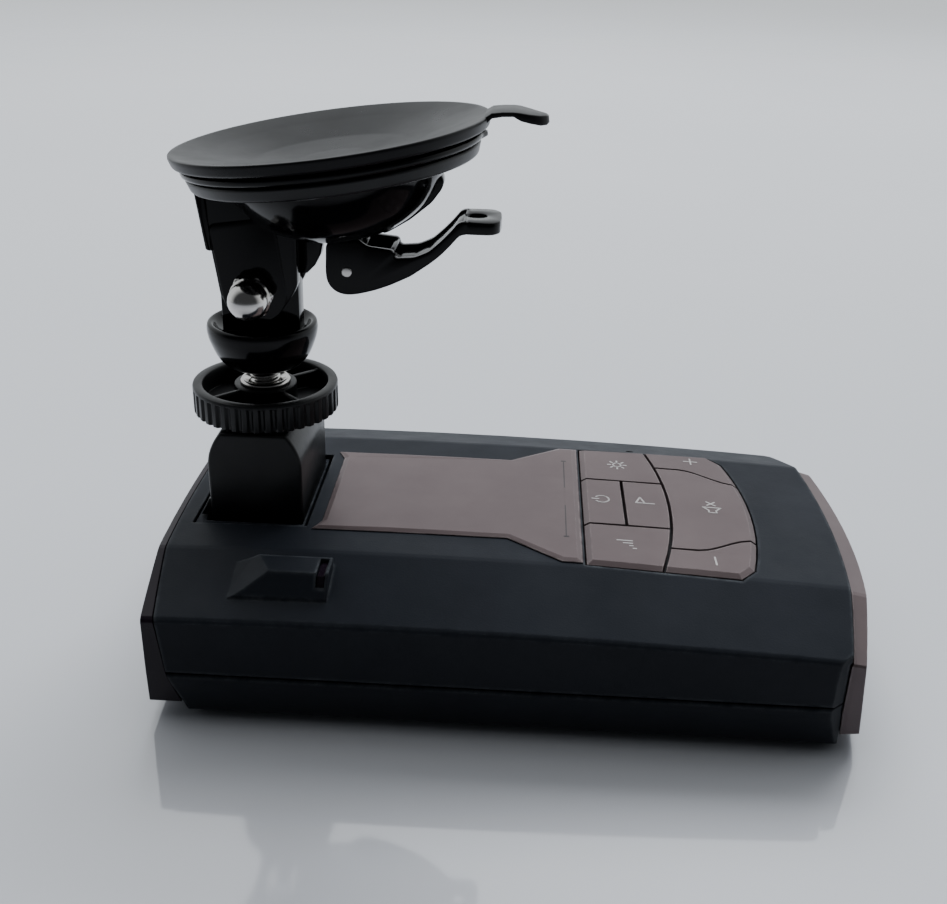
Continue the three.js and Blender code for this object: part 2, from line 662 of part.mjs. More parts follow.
function lowerKnuckle() {
  const bowl = turned([
    [0, 56.3], [5.2, 56.3], [7.4, 57.2], [9, 59], [10.2, 61.6], [10.9, 64], [11.1, 65.6],
    [10.9, 66.2], [10.4, 66.4], [9.9, 66.2], [9, 65.2], [7.6, 64.5], [0, 64.3],
  ], STEM_X, 40);
  const tongue = prism('y', [
    [BOLT_WORLD.x - TONGUE.halfWidth, 59], [BOLT_WORLD.x + TONGUE.halfWidth, 59],
    ...arc(BOLT_WORLD.x, BOLT_WORLD.z, TONGUE.halfWidth, 0, 180, 16),
  ], -TONGUE.halfThick, TONGUE.halfThick);
  const studBore = rod('z', STUD_RADIUS + 0.1, [STEM_X, 0], 50, 58.7, 24);
  const boltBore = rod('y', BOLT.radius + 0.1, [BOLT_WORLD.x, BOLT_WORLD.z], -10, 10, 20);
  return cut(union(bowl, tongue), studBore, boltBore);
}

function tiltBolt() {
  const { x, z } = BOLT_WORLD;
  const head = prism('y', arc(x, z, 4.6, 0, 360, 6).slice(0, -1), 7.1, 10.4);
  return union(head, rod('y', BOLT.radius - 0.05, [x, z], -12, 7.5, 20));
}

function acornNut() {
  const { x, z } = BOLT_WORLD;
  const hex = prism('y', arc(x, z, 4.6, 7, 367, 6).slice(0, -1), -10.6, -7.1);
  const domeRadius = 3.75;
  const shoulder = 12.6;
  const cap = turned([
    [0, 10], [domeRadius, 10],
    ...sample(0, 75, 5, (t) => {
      const angle = THREE.MathUtils.degToRad(t);
      return [domeRadius * Math.cos(angle), shoulder + domeRadius * Math.sin(angle)];
    }),
    [0, shoulder + domeRadius],
  ], 0, 24);
  const dome = reshape(cap, (vertex) => { vertex.set(vertex.x + x, -vertex.z, vertex.y + z); });
  const bore = rod('y', BOLT.radius + 0.1, [x, z], -12.3, 0, 20);
  return cut(union(hex, dome), bore);
}

// Bowl of the suction base below its flange, as [radius, height] in the disc's frame.
const BOWL_PROFILE = [
  [0, -14], [6.6, -13.8], [10.6, -12.8], [14.3, -10.9], [17, -8.7], [19, -6], [20.6, -3.4], [21.4, -1.6],
  [23, -1.2], [23, 0.2], [25.6, 0.4], [25.6, 1.5], [28.3, 1.7], [28.6, 2.1], [28.6, 2.7],
];
const CAVITY_PROFILE = [[0, -8.6], [6, -8.6], [12, -6.4], [16, -2.8], [20, -0.6], [23.5, 1.4], [27.6, 2.7]];

// Moulded arm with two ears, in the disc's frame.
function arm() {
  const left = BOLT.u - EAR.radius;
  const right = BOLT.u + EAR.radius;
  const top = -1.1;
  const ear = [[left, top], ...arc(BOLT.u, BOLT.h, EAR.radius, 180, 360, 14), [right, top]];
  const web = [
    [left + 1, top], [left + 1, -19], [-12.5, -23.4], [-10.9, -23], [-9.9, -21.4], [-8.6, -13], [-7, top],
  ];
  const cover = [[left - 0.9, top], [left - 0.9, -12.9], [left + 1.2, -12.9], [left + 1.2, top]];
  const plates = union(
    prism('y', ear, -EAR.outer, EAR.outer), prism('y', web, -EAR.web, EAR.web),
    prism('y', cover, -EAR.outer - 0.4, EAR.outer + 0.4),
  );
  const reach = TONGUE.halfWidth + 0.6;
  const slot = prism('y', [
    [-60, -60], [0, -60], [0, BOLT.h], ...arc(BOLT.u, BOLT.h, reach, 0, 180, 14), [-60, BOLT.h],
  ], -EAR.inner, EAR.inner);
  const grooves = [-1, 1].map((side) => prism('y', rectangle(-11, 0, -40, -13.4),
    side * 2.65 - 0.35, side * 2.65 + 0.35));
  const bore = rod('y', BOLT.radius + 0.1, [BOLT.u, BOLT.h], -20, 20, 20);
  const gusset = prism('y', [
    [-9.5, -12], [-4, -12], [-4.6, -14.6], [-5.4, -17], [-6.8, -19], [-8.6, -20.4], [-9.9, -20.4],
  ], -1.6, 1.6);
  return union(cut(plates, slot, ...grooves, bore), gusset);
}

function suctionBase() {
  const bowl = turned([...BOWL_PROFILE, ...CAVITY_PROFILE.slice().reverse()], 0, 40);
  const rail = prism('y', [
    [4.6, -12], [5.6, -14.9], [8.6, -13.9], [13, -12], [17.6, -9.2], [19.8, -6.9], [20.4, -5.6],
    [20.2, -4.4], [19.4, -3.9], [17.4, -4],
  ], -2.2, 2.2);
  const hollow = turned([...CAVITY_PROFILE, [0, 2.7]], 0, 40);
  const bowlCore = turned([[0, -12.4], [8, -12], [15, -8.4], [19.6, -2], [19.6, 5], [0, 5]], 0, 24);
  const armOutside = cut(arm(), bowlCore);
  const plungerBore = rod('z', 3.3, [0, 0], -30, 10, 20);
  const pocketHalf = LEVER.halfWidth + 0.4;
  const camPocket = box(-6, 9, -pocketHalf, pocketHalf, -20, -11);
  return ontoDisc(cut(union(bowl, cut(rail, hollow), armOutside), hollow, plungerBore, camPocket));
}

function baseRim() {
  const profile = [
    [23.3, -1.3], [26.6, -1.3], [27.3, -0.9], [27.9, 1], [27.6, 1.45], [25.9, 1.25], [25.9, 0.15],
    [23.3, -0.05], [23.3, -1.3],
  ];
  return cut(ontoDisc(turned(profile, 0, 40)), grownArm());
}

// Clearance for the arm where it passes under the rim.
function grownArm() {
  const left = BOLT.u - EAR.radius;
  const side = EAR.outer + 0.8;
  return ontoDisc(box(left - 1.3, -6.6, -side, side, -3, -0.8));
}

// The rubber cup: a dished disc with a centre boss and a pull tab on the +X side.
function suctionCup() {
  const dish = turned([
    [0, -8.2], [5.2, -8.2], [5.6, -4.4], [14, -0.4], [22, 2], [28.6, 3.4], [29.8, 3.75], [30.2, 5.4],
    [29.8, 5.9], [24, 4.2], [15, 2], [7, 1], [0, 0.8],
  ], 0, 48);
  const tab = prism('y', [
    [29, 4.2], [30.6, 5.7], [34.6, 5.5], [35.5, 4.7], [37.3, 3.75], [39.1, 2.95], [40.3, 2.75], [40.9, 3.4],
    [40.8, 4.5], [39.2, 4.8], [37.4, 5.4], [34.7, 6.2], [30.8, 6.6], [29, 5.7],
  ], -5, 5);
  const taper = prism('z', [
    [28, -5], [35.3, -5], [37.3, -4.1], [39.2, -2.9], [40.6, -1.5], [41, 0], [40.6, 1.5], [39.2, 2.9],
    [37.3, 4.1], [35.3, 5], [28, 5],
  ], 0, 10);
  const lip = cut(tab.intersect(taper), turned([[0, 0], [29.7, 0], [29.7, 10], [0, 10]], 0, 48));
  const plungerSocket = rod('z', 3.4, [0, 0], -20, -3.4, 20);
  return ontoDisc(cut(union(dish, lip), plungerSocket));
}

// ---------------------------------------------------------------- lever and plunger
const PIN = discPoint(0, 0, -PIN_DROP);
const LEVER = { halfWidth: 6, cheek: 1.9, pinRadius: 1 };

function plunger() {
  const shaft = rod('z', 3, [0, 0], -19.3, -6.2, 20);
  const stem = rod('y', 2.6, [0, -PIN_DROP], -2.9, 2.9, 20);
  const flats = [-1, 1].map((side) => box(-5, 5, side * 3.95 - 1.05, side * 3.95 + 1.05, -30, -12.4));
  const bore = rod('y', LEVER.pinRadius + 0.1, [0, -PIN_DROP], -9, 9, 16);
  return ontoDisc(cut(union(shaft, stem), ...flats, bore));
}

function leverPin() {
  return rod('y', LEVER.pinRadius, [PIN.x, PIN.z], -6.3, 6.3, 16);
}

// Side view of the lever, closed against the base.
function leverOutline() {
  return [
    [-38.4, 84.6], [-39.4, 83.8], [-39.6, 78.3], [-39.4, 76.6], [-38.7, 75.3], [-37.6, 74.4],
    [-36.3, 73.9], [-34.9, 73.8], [-33, 74.2], [-30.1, 75], [-27.2, 76.1], [-23.3, 78], [-19.5, 80.7],
    [-17.6, 82.3], [-15.8, 84.2], [-14.9, 85.3], [-13.8, 86.3], [-12.1, 86.5], [-7.2, 86.5], [-6.2, 87],
    [-6.2, 88.4], [-6.8, 88.9], [-13.6, 89], [-14.5, 88.5], [-15.8, 86.9], [-17.7, 84.9], [-19.9, 82.9],
    [-22.6, 81.7], [-26.2, 81.4], [-26.5, 83], [-31.6, 83.6], [-33.2, 84.8],
  ];
}

function lever() {
  const { halfWidth, cheek } = LEVER;
  const body = prism('y', leverOutline(), -halfWidth, halfWidth);
  const fork = prism('y', [
    [-60, 60], [PIN.x + 3.8, 60], [PIN.x + 3.8, 78], [-31, 78.6], [-28, 79.6], [-28, 90], [-60, 90],
  ], -halfWidth + cheek, halfWidth - cheek);
  const eyelet = prism('z', arc(-11.1, 0, 1.9, 0, 360, 16).slice(0, -1), 80, 95);
  const corners = [-1, 1].map((side) => prism('z', [
    [-10, side * 6.2], [-5, side * 6.2], [-5, side * 2], [-6.2, side * 2.6], [-7.4, side * 5],
  ], 84, 92));
  const bore = rod('y', LEVER.pinRadius + 0.1, [PIN.x, PIN.z], -9, 9, 16);
  return cut(body, fork, eyelet, ...corners, bore);
}

// ---------------------------------------------------------------- assembly
const MATERIALS = {
  case_plastic: { color: '#2b2d33', roughness: 0.6 },
  gloss_black: { color: '#0c0c0e', roughness: 0.12 },
  satin_black: { color: '#1a1b1d', roughness: 0.4 },
  taupe_plastic: { color: '#7a6c6a', roughness: 0.4, metalness: 0.2 },
  smoked_lens: { color: '#1c1118', roughness: 0.08 },
  rubber_black: { color: '#1d1e20', roughness: 0.8 },
  silicone: { color: '#5b5b5e', roughness: 0.9 },
  nickel: { color: '#c9c4bb', roughness: 0.2, metalness: 1 },
  brass: { color: '#b08d4f', roughness: 0.3, metalness: 1 },
  circuit_board: { color: '#1f5a34', roughness: 0.6 },
  die_cast: { color: '#9a9c9f', roughness: 0.5, metalness: 0.8 },
  ceramic: { color: '#a07b5a', roughness: 0.6 },
  magnet: { color: '#8f9396', roughness: 0.25, metalness: 1 },
};

const detector = new THREE.Group();
detector.name = 'radar_detector_with_mount';

function place(name, material, body) {
  const geometry = geometryOf(body);
  geometry.computeVertexNormals();
  const mesh = new THREE.Mesh(geometry, new THREE.MeshStandardMaterial(MATERIALS[material]));
  mesh.name = name;
  mesh.material.name = material;
  detector.add(mesh);
}

place('top_shell', 'case_plastic', topShell());
place('bottom_shell', 'case_plastic', bottomShell());
place('front_lens', 'smoked_lens', frontLens());
place('display_bezel', 'taupe_plastic', displayBezel());
place('display_window', 'smoked_lens', displayWindow());
place('display_module', 'gloss_black', displayModule());
place('trim_plate', 'taupe_plastic', trimPlate());
keys().forEach(([name, key]) => place(name, 'taupe_plastic', key));
place('keypad_membrane', 'silicone', keypadMembrane());
place('rear_laser_window', 'smoked_lens', laserWindow());
place('light_sensor', 'smoked_lens', lightSensor());

place('main_circuit_board', 'circuit_board', mainBoard());
place('front_antenna_horn', 'die_cast', frontHorn());
place('rear_antenna_horn', 'die_cast', rearHorn());
place('gps_antenna', 'ceramic', gpsAntenna());
place('speaker', 'satin_black', speaker());
place('front_laser_sensor', 'gloss_black', laserSensor(-58, 24, 7.9, -1));
place('rear_laser_sensor', 'gloss_black', laserSensor(-41, -32, 14.5, 1));
place('power_jack', 'satin_black', powerJack());
place('usb_socket', 'nickel', usbSocket());
place('audio_jack', 'satin_black', audioJack());
SCREW_SPOTS.forEach((spot, i) => place(`case_screw_${i + 1}`, 'nickel', caseScrew(spot)));

place('mount_dock', 'satin_black', dockTray());
place('dock_magnet', 'magnet', rod('z', 6, [STEM_X, 0], 19.9, 22.7, 24));
place('mount_block', 'satin_black', mountBlock());
place('block_magnet', 'magnet', rod('z', 6, [STEM_X, 0], 25.4, 28.4, 24));
place('block_insert', 'brass', blockInsert());
place('thumbwheel', 'satin_black', thumbwheel());
place('wheel_insert', 'nickel', wheelInsert());
place('mount_stud', 'nickel', mountStud());
place('lower_knuckle', 'gloss_black', lowerKnuckle());
place('tilt_bolt', 'nickel', tiltBolt());
place('acorn_nut', 'nickel', acornNut());
place('suction_base', 'gloss_black', suctionBase());
place('base_rim', 'satin_black', baseRim());
place('suction_cup', 'rubber_black', suctionCup());
place('plunger', 'satin_black', plunger());
place('lever_pin', 'nickel', leverPin());
place('lever', 'gloss_black', lever());

export default detector;
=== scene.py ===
import json
import math

import bmesh
import bpy
from mathutils import Matrix, Vector


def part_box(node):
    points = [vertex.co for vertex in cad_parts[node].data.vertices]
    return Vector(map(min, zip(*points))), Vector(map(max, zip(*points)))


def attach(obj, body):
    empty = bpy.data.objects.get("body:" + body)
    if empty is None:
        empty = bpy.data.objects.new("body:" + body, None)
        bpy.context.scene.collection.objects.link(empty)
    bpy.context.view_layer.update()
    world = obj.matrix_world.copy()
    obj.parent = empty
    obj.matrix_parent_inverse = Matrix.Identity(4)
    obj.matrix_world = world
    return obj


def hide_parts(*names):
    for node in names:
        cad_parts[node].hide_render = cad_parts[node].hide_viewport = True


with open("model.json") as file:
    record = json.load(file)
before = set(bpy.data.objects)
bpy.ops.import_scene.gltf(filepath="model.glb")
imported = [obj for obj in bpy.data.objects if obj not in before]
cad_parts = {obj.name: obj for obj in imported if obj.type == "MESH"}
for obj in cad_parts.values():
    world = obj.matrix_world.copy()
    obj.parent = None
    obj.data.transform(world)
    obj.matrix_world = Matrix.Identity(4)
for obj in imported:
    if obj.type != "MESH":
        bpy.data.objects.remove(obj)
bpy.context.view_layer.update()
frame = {"nodes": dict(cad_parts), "record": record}

# ------------------------------------------------------------------ where things are
MM = 0.001                       # shapes below are in millimetres; lights and materials in metres
JOINTS = {joint["name"]: joint for joint in frame["record"]["behaviour"]["joints"]}
STEM_X = JOINTS["neck_turn"]["pos_m"][0] / MM
BOLT = Vector(JOINTS["head_tilt"]["pos_m"]) / MM
PIN = Vector(JOINTS["lever_throw"]["pos_m"]) / MM
DISC_UP = Vector(JOINTS["plunger_slide"]["axis"]).normalized()
PIN_DROP = 19.8                  # lever pin below the disc's rim plane
SLOT_OF = {part["node"]: part["material_slot"] for part in frame["record"]["subparts"]}
BODY_OF = {node: body for body, nodes in frame["record"]["behaviour"]["bodies"].items() for node in nodes}


def box_mm(node):
    """Lowest and highest corner of a CAD node in millimetres."""
    low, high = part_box(node)
    return Vector(low) / MM, Vector(high) / MM


def disc_frame():
    """Matrix from the tilted disc's own frame (u, y, h) to the object's frame, in millimetres."""
    across = Vector((DISC_UP.z, 0, -DISC_UP.x))
    turn = Matrix((across, Vector((0, 1, 0)), DISC_UP)).transposed().to_4x4()
    return Matrix.Translation(PIN + DISC_UP * PIN_DROP) @ turn


DISC = disc_frame()
BOLT_IN_DISC = tuple((DISC.inverted() @ BOLT)[axis] for axis in (0, 2))

# ------------------------------------------------------------------ camera, floor and lights
CAMERA_PLACE = Vector((-1.45, -218.01, 141.2)) * MM
CAMERA_ANGLES = (-2.38, 25.10, -1.61)    # yaw, pitch down and roll, in degrees
SENSOR_WIDTH = 36
FOCAL_LENGTH = 43.72
TABLE_HALF = 8                   # metres from the middle of the table to its edge

ROOM_DIM = (0.06, 0.063, 0.067, 1)       # behind the camera
ROOM_BRIGHT = (0.93, 0.97, 1.0, 1)       # the wall beyond the object
DIM_UNTIL = 0.30                 # 0 is straight behind the camera, 1 straight ahead
BRIGHT_FROM = 0.62


def camera():
    """Looks down at the case's near long side."""
    yaw, pitch, roll = (math.radians(angle) for angle in CAMERA_ANGLES)
    forward = Vector((math.sin(yaw) * math.cos(pitch), math.cos(yaw) * math.cos(pitch), -math.sin(pitch)))
    right = Vector((math.cos(yaw), -math.sin(yaw), 0))
    down = forward.cross(right)
    tilted_right = math.cos(roll) * right + math.sin(roll) * down
    tilted_down = math.cos(roll) * down - math.sin(roll) * right
    axes = Matrix((tilted_right, -tilted_down, -forward)).transposed().to_4x4()
    data = bpy.data.cameras.new("camera")
    data.sensor_fit = "HORIZONTAL"
    data.sensor_width = SENSOR_WIDTH
    data.lens = FOCAL_LENGTH
    data.clip_start = 0.01
    obj = bpy.data.objects.new("camera", data)
    obj.matrix_world = Matrix.Translation(CAMERA_PLACE) @ axes
    bpy.context.collection.objects.link(obj)
    bpy.context.scene.camera = obj


def area_light(name, location, target, size, power, colour):
    """A soft light that stays out of reflections, so the glossy table looks even."""
    data = bpy.data.lights.new(name, "AREA")
    data.shape = "RECTANGLE"
    data.size, data.size_y = size
    data.energy = power
    data.color = colour
    obj = bpy.data.objects.new(name, data)
    obj.location = location
    obj.rotation_euler = (Vector(target) - Vector(location)).to_track_quat("-Z", "Y").to_euler()
    obj.visible_glossy = False
    bpy.context.collection.objects.link(obj)


def table():
    """A wide pale glossy table top under the object."""
    bm = bmesh.new()
    bmesh.ops.create_grid(bm, x_segments=4, y_segments=4, size=TABLE_HALF)
    mesh = bpy.data.meshes.new("table_top")
    bm.to_mesh(mesh)
    bm.free()
    obj = bpy.data.objects.new("table_top", mesh)
    bpy.context.collection.objects.link(obj)
    mesh.materials.append(table_material())


def room():
    """Light from all round: a bright wall ahead that fades to a dim room behind the camera."""
    world = bpy.data.worlds.new("room")
    bpy.context.scene.world = world
    world.use_nodes = True
    tree = world.node_tree
    direction = tree.nodes.new("ShaderNodeTexCoord")
    axes = tree.nodes.new("ShaderNodeSeparateXYZ")
    ahead = tree.nodes.new("ShaderNodeMapRange")
    ahead.inputs["From Min"].default_value = -1
    ramp = tree.nodes.new("ShaderNodeValToRGB")
    stops = ramp.color_ramp.elements
    stops[0].position, stops[0].color = DIM_UNTIL, ROOM_DIM
    stops[1].position, stops[1].color = BRIGHT_FROM, ROOM_BRIGHT
    tree.links.new(direction.outputs["Generated"], axes.inputs["Vector"])
    tree.links.new(axes.outputs["Y"], ahead.inputs["Value"])
    tree.links.new(ahead.outputs["Result"], ramp.inputs["Fac"])
    tree.links.new(ramp.outputs["Color"], tree.nodes["Background"].inputs["Color"])


def studio():
    table()
    room()
    area_light("window", (0.2, 1.1, 1.3), (0, 0, 0.03), (1.4, 0.9), 47, (0.96, 0.98, 1.0))
    area_light("overhead", (-0.4, 0.2, 1.3), (0, 0, 0), (1.0, 1.0), 5, (1.0, 0.97, 0.93))


# ------------------------------------------------------------------ materials
# Lengths here are metres. A noise scale is features per metre, so 1400 is a grain of 0.7 mm.
MIX_FACTOR, MIX_FIRST, MIX_SECOND = 0, 6, 7      # colour sockets of a Mix node
MIX_RESULT = 2


class Nodes:
    """Builds one node material; each method adds a node and returns its output."""

    def __init__(self, name):
        self.material = bpy.data.materials.new(name)
        self.material.use_nodes = True
        self.tree = self.material.node_tree
        self.shader = self.tree.nodes["Principled BSDF"]
        coordinates = self.tree.nodes.new("ShaderNodeTexCoord")
        self.object_space = coordinates.outputs["Object"]

    def link(self, source, target):
        self.tree.links.new(source, target)

    def feed(self, source, socket):
        """Connects an output to one of the shader's own sockets."""
        self.link(source, self.shader.inputs[socket])

    def set(self, **values):
        for key, value in values.items():
            self.shader.inputs[key.replace("_", " ")].default_value = value

    def noise(self, scale, detail=2.0, roughness=0.5):
        node = self.tree.nodes.new("ShaderNodeTexNoise")
        node.inputs["Scale"].default_value = scale
        node.inputs["Detail"].default_value = detail
        node.inputs["Roughness"].default_value = roughness
        self.link(self.object_space, node.inputs["Vector"])
        return node.outputs["Fac"]

    def ramp(self, source, stops):
        """stops: (position, value) pairs, where a value is a number or an rgb colour."""
        node = self.tree.nodes.new("ShaderNodeValToRGB")
        elements = node.color_ramp.elements
        for element, (position, value) in zip(elements, stops):
            colour = value if isinstance(value, tuple) else (value,) * 3
            element.position = position
            element.color = (*colour, 1)
        self.link(source, node.inputs["Fac"])
        return node.outputs["Color"]

    def mix(self, factor, first, second):
        """Blends two colours; each input is an output socket or a constant colour."""
        node = self.tree.nodes.new("ShaderNodeMix")
        node.data_type = "RGBA"
        for source, socket in ((factor, MIX_FACTOR), (first, MIX_FIRST), (second, MIX_SECOND)):
            if isinstance(source, tuple):
                node.inputs[socket].default_value = (*source, 1)
            else:
                self.link(source, node.inputs[socket])
        return node.outputs[MIX_RESULT]

    def product(self, first, second):
        node = self.tree.nodes.new("ShaderNodeMath")
        node.operation = "MULTIPLY"
        self.link(first, node.inputs[0])
        self.link(second, node.inputs[1])
        return node.outputs[0]

    def bump(self, height, distance, strength, below=None):
        node = self.tree.nodes.new("ShaderNodeBump")
        node.inputs["Distance"].default_value = distance
        node.inputs["Strength"].default_value = strength
        self.link(height, node.inputs["Height"])
        if below is not None:
            self.link(below, node.inputs["Normal"])
        return node.outputs["Normal"]

    def rounded(self, radius):
        """A normal that turns smoothly over sharp edges, as if they had this radius."""
        node = self.tree.nodes.new("ShaderNodeBevel")
        node.samples = 4
        node.inputs["Radius"].default_value = radius
        return node.outputs["Normal"]

    def edges(self, radius):
        """Near 1 on sharp edges: where the rounded normal leaves the real one."""
        geometry = self.tree.nodes.new("ShaderNodeNewGeometry")
        dot = self.tree.nodes.new("ShaderNodeVectorMath")
        dot.operation = "DOT_PRODUCT"
        self.link(geometry.outputs["Normal"], dot.inputs[0])
        self.link(self.rounded(radius), dot.inputs[1])
        return self.ramp(dot.outputs["Value"], [(0.90, 1.0), (0.995, 0.0)])


def moulded(name, dark, light, gloss, grain=1400, grain_depth=0.00003, edge=0.0003, edge_wear_and_highlight=0.25,
            metallic=0.0, specular=0.5, edge_wear_and_highlight_colour=None):
    """Moulded or painted plastic: fine grain, cloudy tone, and paler edges in handled patches, partly rubbed
    wear and partly a painted highlight.
    """
    n = Nodes(name)
    low, high = gloss
    tone = n.ramp(n.noise(55, 4, 0.6), [(0.3, dark), (0.7, light)])
    # Edges are mixed towards a paler colour in noisy patches: partly wear, partly a painted highlight along
    # the edges.
    edge_wear_and_highlight_colour = edge_wear_and_highlight_colour or tuple(min(1.0, channel * 1.9 + 0.01) for channel in light)
    rubbed_and_lit_patches = n.ramp(n.noise(240, 3, 0.7), [(0.35, 0.0), (0.75, edge_wear_and_highlight)])
    n.feed(n.mix(n.product(n.edges(edge * 1.5), rubbed_and_lit_patches), tone, edge_wear_and_highlight_colour), "Base Color")
    n.feed(n.ramp(n.noise(130, 5, 0.65), [(0.3, low), (0.75, high)]), "Roughness")
    n.feed(n.bump(n.noise(grain, 2), grain_depth, 0.6, n.rounded(edge)), "Normal")
    n.set(Metallic=metallic, Specular_IOR_Level=specular)
    return n.material


def metal(name, dark, light, gloss, grain=500, grain_depth=0.000004):
    """Plated or cast metal: streaked tone and roughness, tiny surface ripples."""
    n = Nodes(name)
    low, high = gloss
    n.feed(n.ramp(n.noise(90, 4, 0.6), [(0.3, dark), (0.7, light)]), "Base Color")
    n.feed(n.ramp(n.noise(260, 3, 0.6), [(0.3, low), (0.75, high)]), "Roughness")
    n.feed(n.bump(n.noise(grain, 3), grain_depth, 0.6, n.rounded(0.0002)), "Normal")
    n.set(Metallic=1.0)
    return n.material


def rubber(name, dark, light, gloss):
    """Soft black rubber with a faint bloom and mould ripples."""
    n = Nodes(name)
    low, high = gloss
    n.feed(n.ramp(n.noise(40, 5, 0.65), [(0.3, dark), (0.75, light)]), "Base Color")
    n.feed(n.ramp(n.noise(90, 5, 0.6), [(0.3, low), (0.75, high)]), "Roughness")
    n.feed(n.bump(n.noise(300, 3), 0.00002, 0.5, n.rounded(0.0002)), "Normal")
    n.set(Specular_IOR_Level=0.15)
    return n.material


def table_material():
    """Pale lacquer, slightly uneven, with a strong soft reflection."""
    n = Nodes("table_gloss")
    pale = [(0.3, (0.47, 0.49, 0.53)), (0.7, (0.50, 0.515, 0.555))]
    n.feed(n.ramp(n.noise(3, 3), pale), "Base Color")
    n.feed(n.ramp(n.noise(14, 4), [(0.3, 0.045), (0.7, 0.08)]), "Roughness")
    n.feed(n.bump(n.noise(30, 2), 0.0002, 0.03), "Normal")
    n.set(IOR=2.35)
    return n.material


# Each look: its darker and lighter tone, and its lowest and highest roughness.
LOOKS = {
    # The case's paler edges are partly wear, partly a painted highlight along its creases.
    "case_plastic": moulded(
        "case_plastic", (0.0092, 0.0112, 0.0155), (0.0128, 0.0152, 0.0205), (0.48, 0.58),
        grain=2600, grain_depth=0.00004, edge=0.0007, edge_wear_and_highlight=0.8, specular=0.14, edge_wear_and_highlight_colour=(0.09, 0.10, 0.11)),
    "satin_black": moulded(
        "satin_black", (0.0032, 0.0034, 0.0038), (0.0052, 0.0054, 0.0058), (0.28, 0.40), specular=0.3),
    "gloss_black": moulded(
        "gloss_black", (0.0009, 0.0010, 0.0012), (0.0018, 0.0018, 0.0021), (0.07, 0.14),
        grain=300, grain_depth=0.00001, edge_wear_and_highlight=0.15, specular=0.18),
    # The taupe parts' pale edges are partly wear, partly a painted highlight.
    "taupe_plastic": moulded(
        "taupe_paint", (0.098, 0.075, 0.078), (0.118, 0.092, 0.094), (0.36, 0.44),
        grain=3600, grain_depth=0.00001, edge_wear_and_highlight=0.9, metallic=0.3, specular=0.3, edge_wear_and_highlight_colour=(0.34, 0.29, 0.29)),
    "smoked_lens": moulded(
        "smoked_lens", (0.0075, 0.0045, 0.0085), (0.011, 0.007, 0.0125), (0.06, 0.12),
        grain=200, grain_depth=0.000004, edge_wear_and_highlight=0.1, specular=0.26),
    "rubber_black": rubber(
        "rubber_black", (0.0035, 0.0035, 0.004), (0.0065, 0.0065, 0.007), (0.26, 0.36)),
    # White ink for printed legends, also used as a painted highlight on the volume keys' raised marks.
    "legend_white": moulded(
        "legend_ink_and_highlight", (0.32, 0.31, 0.31), (0.40, 0.39, 0.39), (0.5, 0.7), edge=0.00002),
    "legend_dark": moulded(
        "engraved_line", (0.03, 0.028, 0.03), (0.05, 0.045, 0.048), (0.5, 0.7), edge=0.00002),
    "silicone": rubber("silicone_grey", (0.06, 0.06, 0.065), (0.08, 0.08, 0.085), (0.6, 0.75)),
    "nickel": metal("nickel_plate", (0.50, 0.485, 0.46), (0.66, 0.64, 0.615), (0.10, 0.20)),
    "brass": metal("turned_brass", (0.50, 0.33, 0.12), (0.68, 0.48, 0.20), (0.18, 0.32)),
    "circuit_board": moulded(
        "solder_mask", (0.010, 0.07, 0.03), (0.015, 0.10, 0.045), (0.25, 0.40), edge_wear_and_highlight=0.1),
    "die_cast": metal(
        "die_cast_zinc", (0.38, 0.39, 0.40), (0.50, 0.51, 0.52), (0.45, 0.6),
        grain=900, grain_depth=0.00003),
    "ceramic": moulded("fired_ceramic", (0.38, 0.22, 0.12), (0.48, 0.29, 0.16), (0.5, 0.7)),
    "magnet": metal("plated_magnet", (0.50, 0.51, 0.53), (0.62, 0.63, 0.65), (0.15, 0.25)),
}

# ------------------------------------------------------------------ mesh building
ON_AXIS = 1e-6                   # a lathe profile's point this close to the axis is on it
AXES = {
    "y": lambda a, b, c: (a, c, b),
    "z": lambda a, b, c: (a, b, c),
}


def circle_point(radius, angle):
    return radius * math.cos(angle), radius * math.sin(angle)


def turns(start, end, steps):
    """Evenly spaced angles in radians, from two ends in degrees."""
    return [math.radians(start + (end - start) * k / steps) for k in range(steps + 1)]


def full_turn(steps):
    return [2 * math.pi * k / steps for k in range(steps)]


def arc(centre, radius, start, end, steps):
    return [
        (centre[0] + radius * math.cos(a), centre[1] + radius * math.sin(a))
        for a in turns(start, end, steps)
    ]


def rectangle(left, right, bottom, top):
    return [(left, bottom), (right, bottom), (right, top), (left, top)]


def round_corners(points, radius, steps=4, closed=True):
    """Replaces each corner of an outline by a curve that starts about radius before it."""
    result = []
    for i, point in enumerate(points):
        corner = Vector(point)
        if not closed and i in (0, len(points) - 1):
            result.append(tuple(corner))
            continue
        before = Vector(points[i - 1]) - corner
        after = Vector(points[(i + 1) % len(points)]) - corner
        reach = min(radius, 0.45 * before.length, 0.45 * after.length)
        start = corner + before.normalized() * reach
        end = corner + after.normalized() * reach
        for k in range(steps + 1):
            t = k / steps
            result.append(tuple(start * (1 - t) ** 2 + corner * (2 * t * (1 - t)) + end * t ** 2))
    return result


def grown(points, distance):
    """Moves a closed outline outwards (for anticlockwise order) by a distance."""
    result = []
    for i, point in enumerate(points):
        before, after = points[i - 1], points[(i + 1) % len(points)]
        normals = []
        for a, b in ((before, point), (point, after)):
            length = math.dist(a, b) or 1
            normals.append(((b[1] - a[1]) / length, (a[0] - b[0]) / length))
        total = [sum(axis) for axis in zip(*normals)]
        size = max(total[0] ** 2 + total[1] ** 2, 0.5)
        result.append(tuple(p + q * 2 * distance / size for p, q in zip(point, total)))
    return result


def anticlockwise(points):
    area = sum(a[0] * b[1] - b[0] * a[1] for a, b in zip(points, points[1:] + points[:1]))
    return points if area > 0 else points[::-1]


